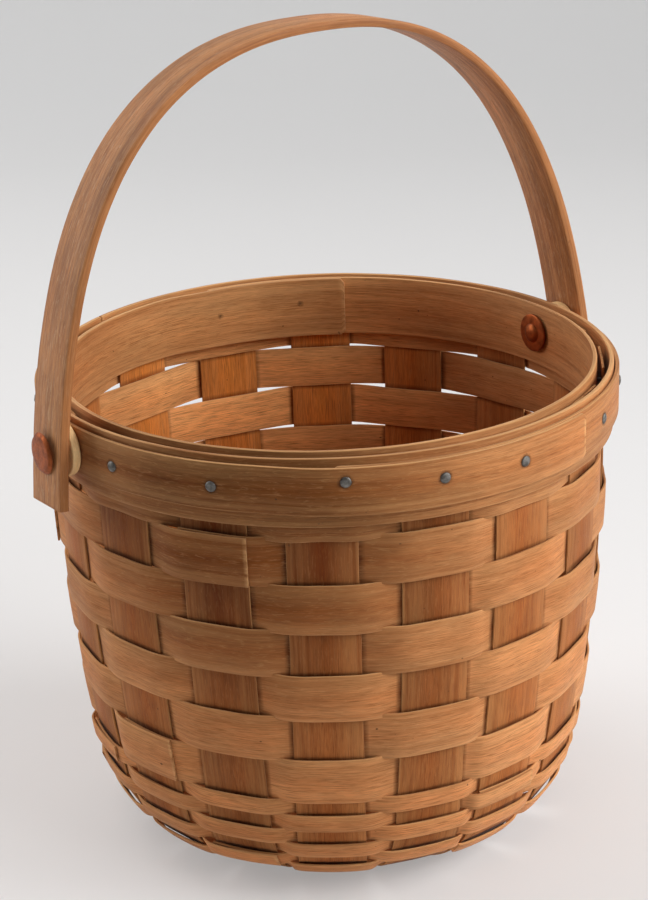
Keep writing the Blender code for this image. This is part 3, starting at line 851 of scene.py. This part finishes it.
def make_nail_group():
    """Sets one nail on every point, square to its out direction, each turned and tilted a little."""
    tree, given, result = new_group("driven_nails", {
        "Head Radius": 0.002, "Head Height": 0.001, "Shank Radius": 0.0007, "Shank Length": 0.01,
        "Tilt": 0.1, "Steel": None})
    ball = add_node(tree, "GeometryNodeMeshUVSphere", {"Segments": 24, "Rings": 12, "Radius": 1.0})
    place = add_node(tree, "GeometryNodeInputPosition")
    parts = add_node(tree, "ShaderNodeSeparateXYZ", {0: place}).outputs
    dent = add_node(tree, "ShaderNodeTexNoise", {"Vector": place, "Scale": 1.6, "Detail": 2.0})
    uneven = maths(tree, "ADD", 0.75, times(tree, dent, 0.5))
    shaped = xyz(tree, times(tree, parts["X"], given["Head Radius"]),
                 times(tree, parts["Y"], given["Head Radius"]),
                 times(tree, times(tree, maths(tree, "MAXIMUM", parts["Z"], 0.0), uneven),
                       given["Head Height"]))
    head = add_node(tree, "GeometryNodeSetPosition", {"Geometry": ball, "Position": shaped})
    shank = add_node(tree, "GeometryNodeMeshCylinder", {
        "Vertices": 12, "Radius": given["Shank Radius"], "Depth": given["Shank Length"]})
    drop = xyz(tree, 0.0, 0.0, times(tree, given["Shank Length"], -0.49))
    driven = add_node(tree, "GeometryNodeTransform", {"Geometry": shank, "Translation": drop})
    nail = add_node(tree, "GeometryNodeJoinGeometry")
    tree.links.new(head.outputs[0], nail.inputs[0])
    tree.links.new(driven.outputs[0], nail.inputs[0])
    upright = add_node(tree, "FunctionNodeAlignRotationToVector",
                       {"Vector": named(tree, "out", "FLOAT_VECTOR")}, axis="Z")
    tilt = add_node(tree, "FunctionNodeRandomValue",
                    {"Min": (-1.0, -1.0, -math.pi), "Max": (1.0, 1.0, math.pi), "Seed": 5},
                    data_type="FLOAT_VECTOR")
    tilted = vector_maths(tree, "MULTIPLY", tilt.outputs["Value"],
                          xyz(tree, given["Tilt"], given["Tilt"], 1.0))
    turned_by = add_node(tree, "FunctionNodeEulerToRotation", {0: tilted})
    both = add_node(tree, "FunctionNodeRotateRotation", {"Rotation": upright, "Rotate By": turned_by},
                    rotation_space="LOCAL")
    set_on = add_node(tree, "GeometryNodeInstanceOnPoints",
                      {"Points": given["Geometry"], "Instance": nail, "Rotation": both})
    dress(tree, set_on, given["Steel"], result)
    return tree


def make_nails():
    """All sixteen nails ride with the basket, so they are one piece that stands for sixteen nodes."""
    stations = [Station(place, out, Vector((0, 0, 1))) for place, out in nail_places()]
    values = {"Head Radius": nail_head_radius, "Head Height": nail_head_height,
              "Shank Radius": nail_shank_radius, "Shank Length": nail_shank_length, "Tilt": nail_tilt,
              "Steel": materials["nail"]}
    piece = run_group("rim_nails", path_mesh("rim_nails", stations), make_nail_group(), values)
    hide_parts(*[f"nail_{stake + 1:02d}" for stake in range(stake_count)])
    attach(piece, "basket")


def nail_places():
    """For each nail, the middle of its head's underside on the hoop, and the way out."""
    places = []
    for stake in range(stake_count):
        low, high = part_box(f"nail_{stake + 1:02d}")
        middle = (low + high) / 2
        out = Vector((middle.x, middle.y, 0)).normalized()
        angle = math.degrees(math.atan2(out.y, out.x))
        places.append((out * nail_seat(angle) + Vector((0, 0, middle.z)), out))
    return places


def nail_seat(angle):
    """Outer radius of the hoop at an angle in degrees, where it may be doubled."""
    travel = (angle - hoop_inner_end_angle) % 360
    if travel <= hoop_outer_end_angle - hoop_inner_end_angle:
        travel += 360
    return hoop_inner_radius + hoop_thickness + hoop_rise(travel)


# Materials


def new_material(name):
    material = bpy.data.materials.new(name)
    material.use_nodes = True
    return material, material.node_tree, material.node_tree.nodes["Principled BSDF"]


def noise(tree, vector, stretch, detail=4.0, roughness=0.55, distortion=0.0):
    place = vector_maths(tree, "MULTIPLY", vector, stretch)
    return add_node(tree, "ShaderNodeTexNoise",
                    {"Vector": place, "Scale": 1.0, "Detail": detail, "Roughness": roughness,
                     "Distortion": distortion}).outputs[0]


def ramp(tree, value, low, high, to_low=0.0, to_high=1.0):
    return add_node(tree, "ShaderNodeMapRange",
                    {"Value": value, "From Min": low, "From Max": high, "To Min": to_low,
                     "To Max": to_high}).outputs[0]


def mixed(tree, factor, first, second, blend="MIX"):
    return add_node(tree, "ShaderNodeMix", {0: factor, 6: first, 7: second}, data_type="RGBA",
                    blend_type=blend).outputs[2]


def dimmed(tree, tone, shade):
    """The tone made darker or lighter by a shade that is one number."""
    return mixed(tree, 1.0, tone, xyz(tree, shade, shade, shade), "MULTIPLY")


def wood_material(name, light, dark, pale, edge, rings, dashes, flecks=0.22, worn=0.0, stains=(),
                  inside=(1, 1, 1, 1), painted_shade_tint=(1, 1, 1, 1), crevice=None, gloss=0.08, sheen=0.06):
    """Bare splint wood. Its grain follows the strip through the attributes that each strip carries.

    Rings, dashes and flecks say how strongly those marks show. Inside tints the inner face with a
    painted pool of light near the back wall, and the shade tint paints shade onto the front left. A
    crevice is the span of the tuck attribute in which shade is painted beside a strip that crosses.
    """
    material, tree, shader = new_material(name)
    grain = carried(tree, "grain", "Vector")
    ring_lines = ramp(tree, noise(tree, grain, ring_rate, 4.0, 0.62, 0.5), 0.42, 0.66)
    broad = noise(tree, grain, broad_rate, 2.0, 0.5, 0.3)
    fibres = noise(tree, grain, fibre_rate, 3.0, 0.6)
    pores = ramp(tree, noise(tree, grain, pore_rate, 2.0, 0.5), 0.53, 0.66)
    pale_fibres = ramp(tree, noise(tree, grain, pale_fibre_rate, 3.0, 0.55, 1.1), 0.54, 0.70)
    specks = ramp(tree, noise(tree, grain, speck_rate, 1.0, 0.4), 0.795, 0.815)
    patches = noise(tree, grain, patch_rate, 3.0, 0.55)
    hue = ramp(tree, noise(tree, grain, hue_rate, 3.0, 0.6, 0.4), 0.36, 0.64)
    piece_tone = noise(tree, grain, piece_rate, 1.0)

    tone = laid_on(tree, light, ring_lines, rings, dark)
    shift = mixed(tree, hue, (1.03, 0.965, 0.91, 1), (0.97, 1.02, 1.04, 1))
    tone = mixed(tree, 1.0, tone, shift, "MULTIPLY")
    through = add_node(tree, "ShaderNodeSeparateXYZ", {0: grain}).outputs["Z"]
    behind = ramp(tree, through, -0.1 * MM, 0.1 * MM, 1.0, 0.0)
    # Painted light: the inner face is tinted lighter near the back wall
    painted_light_share = times(tree, behind, nearness(tree, painted_light_place, painted_light_reach))
    tone = tinted(tree, painted_light_share, tone, inside)
    # Painted shade on the front left
    tone = tinted(tree, nearness(tree, painted_shade_place, painted_shade_reach), tone, painted_shade_tint)
    # Painted sheen, lighter and paler, at the lower front right
    tone = tinted(tree, nearness(tree, painted_sheen_place, painted_sheen_reach), tone, painted_sheen_tint)
    # Painted shade in the crevices, beside a strip that crosses
    if crevice:
        tuck = carried(tree, "tuck")
        other_face = maths(tree, "MULTIPLY_ADD", tuck, -2.0, 1.0)
        cover = maths(tree, "MULTIPLY_ADD", behind, other_face, tuck)
        tone = tinted(tree, ramp(tree, cover, *crevice, 0.0, 0.85), tone, painted_crevice_shade)
    # The strip's own tone; for the rows it also carries their painted shade and light
    tone = dimmed(tree, tone, carried(tree, "tone"))
    for mark, low, high in ((broad, 0.88, 1.10), (fibres, 0.79, 1.18), (patches, 0.86, 1.10),
                            (piece_tone, 0.84, 1.12)):
        tone = dimmed(tree, tone, ramp(tree, mark, 0.3, 0.7, low, high))
    tone = laid_on(tree, tone, pores, dashes, dark)
    tone = laid_on(tree, tone, pale_fibres, flecks, pale)
    tone = laid_on(tree, tone, specks, 0.8, speck_tone)
    # Edges and ends in the edge colour, which, where paler than the face, is a painted highlight
    tone = laid_on(tree, tone, carried(tree, "cut"), 0.75, laid_on(tree, edge, ring_lines, 0.8, dark))
    if stains:
        tone = laid_on(tree, tone, nail_stain(tree, stains), 0.72, stain_tone)
    relief = maths(tree, "ADD", fibres, times(tree, pores, -0.6))
    relief = maths(tree, "ADD", relief, times(tree, ring_lines, -0.4))
    set_inputs(tree, shader, {
        "Base Color": tone, "Roughness": ramp(tree, fibres, 0.3, 0.7, 0.52 - worn, 0.70 - worn),
        "Specular IOR Level": gloss, "Sheen Weight": sheen, "Sheen Roughness": 0.45,
        "Normal": raised(tree, relief, 0.5)})
    return material


def carried(tree, name, output="Fac"):
    """An attribute that the piece's mesh carries."""
    return add_node(tree, "ShaderNodeAttribute", attribute_name=name).outputs[output]


def on_piece(tree):
    """The place on the piece, in the basket's own frame."""
    return add_node(tree, "ShaderNodeTexCoord").outputs["Object"]


def laid_on(tree, tone, mark, strength, colour):
    """The tone with a mark laid on in a colour."""
    return mixed(tree, times(tree, mark, strength), tone, colour)


def tinted(tree, share, tone, tint):
    """The tone, tinted where the share is one."""
    return mixed(tree, share, tone, mixed(tree, 1.0, tone, tint, "MULTIPLY"))


def raised(tree, height, strength):
    return add_node(tree, "ShaderNodeBump",
                    {"Height": height, "Strength": strength, "Distance": relief_depth})


def nearness(tree, place, reach):
    """One close to a place on the basket, and nothing from its reach on."""
    away = vector_maths(tree, "DISTANCE", on_piece(tree), place).outputs["Value"]
    return ramp(tree, away, 0.4 * reach, reach, 1.0, 0.0)


def nail_stain(tree, places):
    """Share of the dark stain round each nail: its head on the hoop and its tip in the inner band."""
    here = on_piece(tree)
    ragged = times(tree, noise(tree, here, (900,) * 3, 2.0), stain_raggedness)
    whole = None
    for place, radius in places:
        away = vector_maths(tree, "DISTANCE", here, tuple(place)).outputs["Value"]
        spread = maths(tree, "ADD", away, ragged)
        stain = ramp(tree, spread, radius, radius + stain_fade, 1.0, 0.0)
        whole = stain if whole is None else maths(tree, "MAXIMUM", whole, stain)
    return whole


def turned_wood_material(name, light, dark):
    """Pale wood of the spacers, with its rings seen on the rim."""
    material, tree, shader = new_material(name)
    place = on_piece(tree)
    rings = ramp(tree, noise(tree, place, (700, 120, 90), 4.0, 0.6), 0.35, 0.7)
    fine = noise(tree, place, (2600, 500, 500), 3.0, 0.6)
    tone = mixed(tree, rings, light, dark)
    tone = dimmed(tree, tone, ramp(tree, fine, 0.3, 0.7, 0.86, 1.1))
    set_inputs(tree, shader, {"Base Color": tone, "Roughness": 0.6, "Normal": raised(tree, fine, 0.4)})
    return material


def metal_material(name, light, dark, rate, rough_low, rough_high):
    """Dulled metal with darker stains and small dents."""
    material, tree, shader = new_material(name)
    place = on_piece(tree)
    stains = ramp(tree, noise(tree, place, (rate,) * 3, 4.0, 0.6), 0.38, 0.66)
    grit = noise(tree, place, (rate * 6,) * 3, 3.0, 0.6)
    set_inputs(tree, shader, {
        "Base Color": mixed(tree, stains, light, dark), "Metallic": 1.0,
        "Roughness": ramp(tree, grit, 0.3, 0.7, rough_low, rough_high),
        "Normal": raised(tree, grit, 0.3)})
    return material


def make_materials():
    nails = [(place, head_stain_radius) for place, out in nail_places()]
    nails += [(place - out * nail_tip_depth, tip_stain_radius) for place, out in nail_places()]
    # The fourth colour of each wood is its edge: paler on the stakes, weavers and rim, as a painted
    # highlight
    return {
        "stake": wood_material(
            "stake_ash", (0.37, 0.115, 0.029, 1), (0.16, 0.038, 0.008, 1), (0.60, 0.30, 0.11, 1),
            (0.66, 0.34, 0.13, 1), rings=0.14, dashes=0.6, flecks=0.15, inside=(1.9, 1.95, 1.4, 1),
            painted_shade_tint=(0.45, 0.33, 0.18, 1), crevice=(0.4, 0.5)),
        "weaver": wood_material(
            "weaver_ash", (0.50, 0.198, 0.070, 1), (0.25, 0.078, 0.019, 1), (0.66, 0.36, 0.15, 1),
            (0.72, 0.40, 0.17, 1), rings=0.17, dashes=0.65, inside=(1.85, 2.1, 2.1, 1),
            painted_shade_tint=(0.44, 0.315, 0.165, 1), crevice=(0.92, 1.0)),
        "rim": wood_material(
            "rim_ash", (0.48, 0.186, 0.062, 1), (0.24, 0.070, 0.016, 1), (0.66, 0.36, 0.15, 1),
            (0.74, 0.42, 0.18, 1), rings=0.36, dashes=0.6, worn=0.05, stains=nails,
            inside=(1.4, 1.7, 1.9, 1), painted_shade_tint=(0.38, 0.31, 0.175, 1)),
        "handle": wood_material(
            "handle_ash", (0.59, 0.26, 0.098, 1), (0.21, 0.068, 0.02, 1), (0.64, 0.42, 0.24, 1),
            (0.41, 0.16, 0.050, 1), rings=0.55, dashes=0.8, flecks=0.45, worn=0.08, gloss=0.2,
            sheen=0.03),
        "spacer": turned_wood_material("spacer_maple", (1.0, 0.68, 0.33, 1), (0.84, 0.50, 0.20, 1)),
        "copper": metal_material(
            "aged_copper", (0.38, 0.10, 0.03, 1), (0.16, 0.042, 0.014, 1), 190, 0.38, 0.56),
        "nail": metal_material(
            "nail_steel", (0.23, 0.22, 0.205, 1), (0.10, 0.09, 0.08, 1), 420, 0.45, 0.65),
    }


# Floor, light and camera


def stage_material():
    material, tree, shader = new_material("pale_sweep")
    set_inputs(tree, shader, {"Base Color": (0.79, 0.785, 0.785, 1), "Roughness": 0.75,
                              "Specular IOR Level": 0.1})
    away = (-math.sin(camera_azimuth), math.cos(camera_azimuth), 0)
    depth = vector_maths(tree, "DOT_PRODUCT", on_piece(tree), away).outputs["Value"]
    wash = mixed(tree, ramp(tree, depth, -0.15, 1.3), (0.93, 0.885, 0.865, 1), (0.63, 0.63, 0.63, 1))
    glow = add_node(tree, "ShaderNodeEmission", {"Color": wash, "Strength": 1.0})
    seen = add_node(tree, "ShaderNodeLightPath").outputs["Is Camera Ray"]
    both = add_node(tree, "ShaderNodeMixShader", {0: times(tree, seen, 0.36), 1: shader, 2: glow})
    tree.links.new(both.outputs[0], tree.nodes["Material Output"].inputs["Surface"])
    return material


def make_stage():
    """A pale floor that sweeps up into a backdrop behind the basket, as the camera sees it."""
    bm = bmesh.new()
    reach, sweep_start, sweep_radius, top, steps = 4.0, 1.1, 1.0, 3.5, 16
    outline = [(-reach, 0.0), (sweep_start, 0.0)]
    for i in range(1, steps + 1):
        turn = math.pi / 2 * i / steps
        outline.append((sweep_start + sweep_radius * math.sin(turn),
                        sweep_radius * (1 - math.cos(turn))))
    outline.append((sweep_start + sweep_radius, top))
    rows = [[bm.verts.new((x, depth, height - floor_drop)) for x in (-reach, reach)]
            for depth, height in outline]
    for near, far in zip(rows[:-1], rows[1:]):
        bm.faces.new((near[0], near[1], far[1], far[0]))
    mesh = bpy.data.meshes.new("sweep")
    bm.to_mesh(mesh)
    bm.free()
    mesh.shade_smooth()
    mesh.transform(Matrix.Rotation(camera_azimuth, 4, "Z"))
    mesh.materials.append(stage_material())
    sweep = new_object("sweep", mesh)


def away_from_basket(azimuth, rise):
    """The way out from the basket: azimuth round from its front, then up by the rise."""
    flat = math.cos(rise)
    return Vector((math.sin(azimuth) * flat, -math.cos(azimuth) * flat, math.sin(rise)))


def make_camera():
    data = bpy.data.cameras.new("camera")
    camera = new_object("camera", data)
    back = away_from_basket(camera_azimuth, camera_rise)
    camera.location = Vector((0, 0, rim_height)) + camera_distance * back
    facing = (Matrix.Rotation(camera_azimuth + camera_pan, 3, "Z")
              @ Matrix.Rotation(math.pi / 2 - camera_dip, 3, "X")
              @ Matrix.Rotation(camera_roll, 3, "Z"))
    camera.rotation_euler = facing.to_euler()
    data.sensor_width = 36
    data.lens = camera_lens
    bpy.context.scene.camera = camera


def aim_light(name, azimuth, elevation, distance, size, power):
    """An area light, placed as the camera sees it: azimuth to its right, elevation up."""
    data = bpy.data.lights.new(name, "AREA")
    data.shape = "DISK"
    data.size = size
    data.energy = power
    light = new_object(name, data)
    away = away_from_basket(camera_azimuth + math.radians(azimuth), math.radians(elevation))
    target = Vector((0, 0, rim_height * 0.6))
    light.location = target + away * distance
    light.rotation_euler = away.to_track_quat("Z", "Y").to_euler()


def make_lights():
    aim_light("key", 80, 30, 1.6, 1.0, 22)
    aim_light("front_right", 48, 32, 1.6, 0.7, 5.5)
    aim_light("left", -115, 35, 1.6, 1.5, 10)
    aim_light("left_low", -100, 15, 1.6, 0.8, 6)
    aim_light("left_high", -140, 58, 1.6, 1.5, 5)
    aim_light("top", 0, 88, 1.4, 1.5, 3)
    world = bpy.data.worlds.new("studio")
    bpy.context.scene.world = world
    world.use_nodes = True
    back = world.node_tree.nodes["Background"]
    back.inputs["Color"].default_value = (1.0, 0.985, 0.97, 1)
    back.inputs["Strength"].default_value = 0.10


materials = make_materials()
strip_group = make_strip_group()
make_splints()
make_weavers()
make_inner_band()
make_outer_band()
make_hoop()
make_handle()
make_pivots()
make_nails()
make_stage()
make_camera()
make_lights()

view = bpy.context.scene.view_settings
view.view_transform = "Standard"
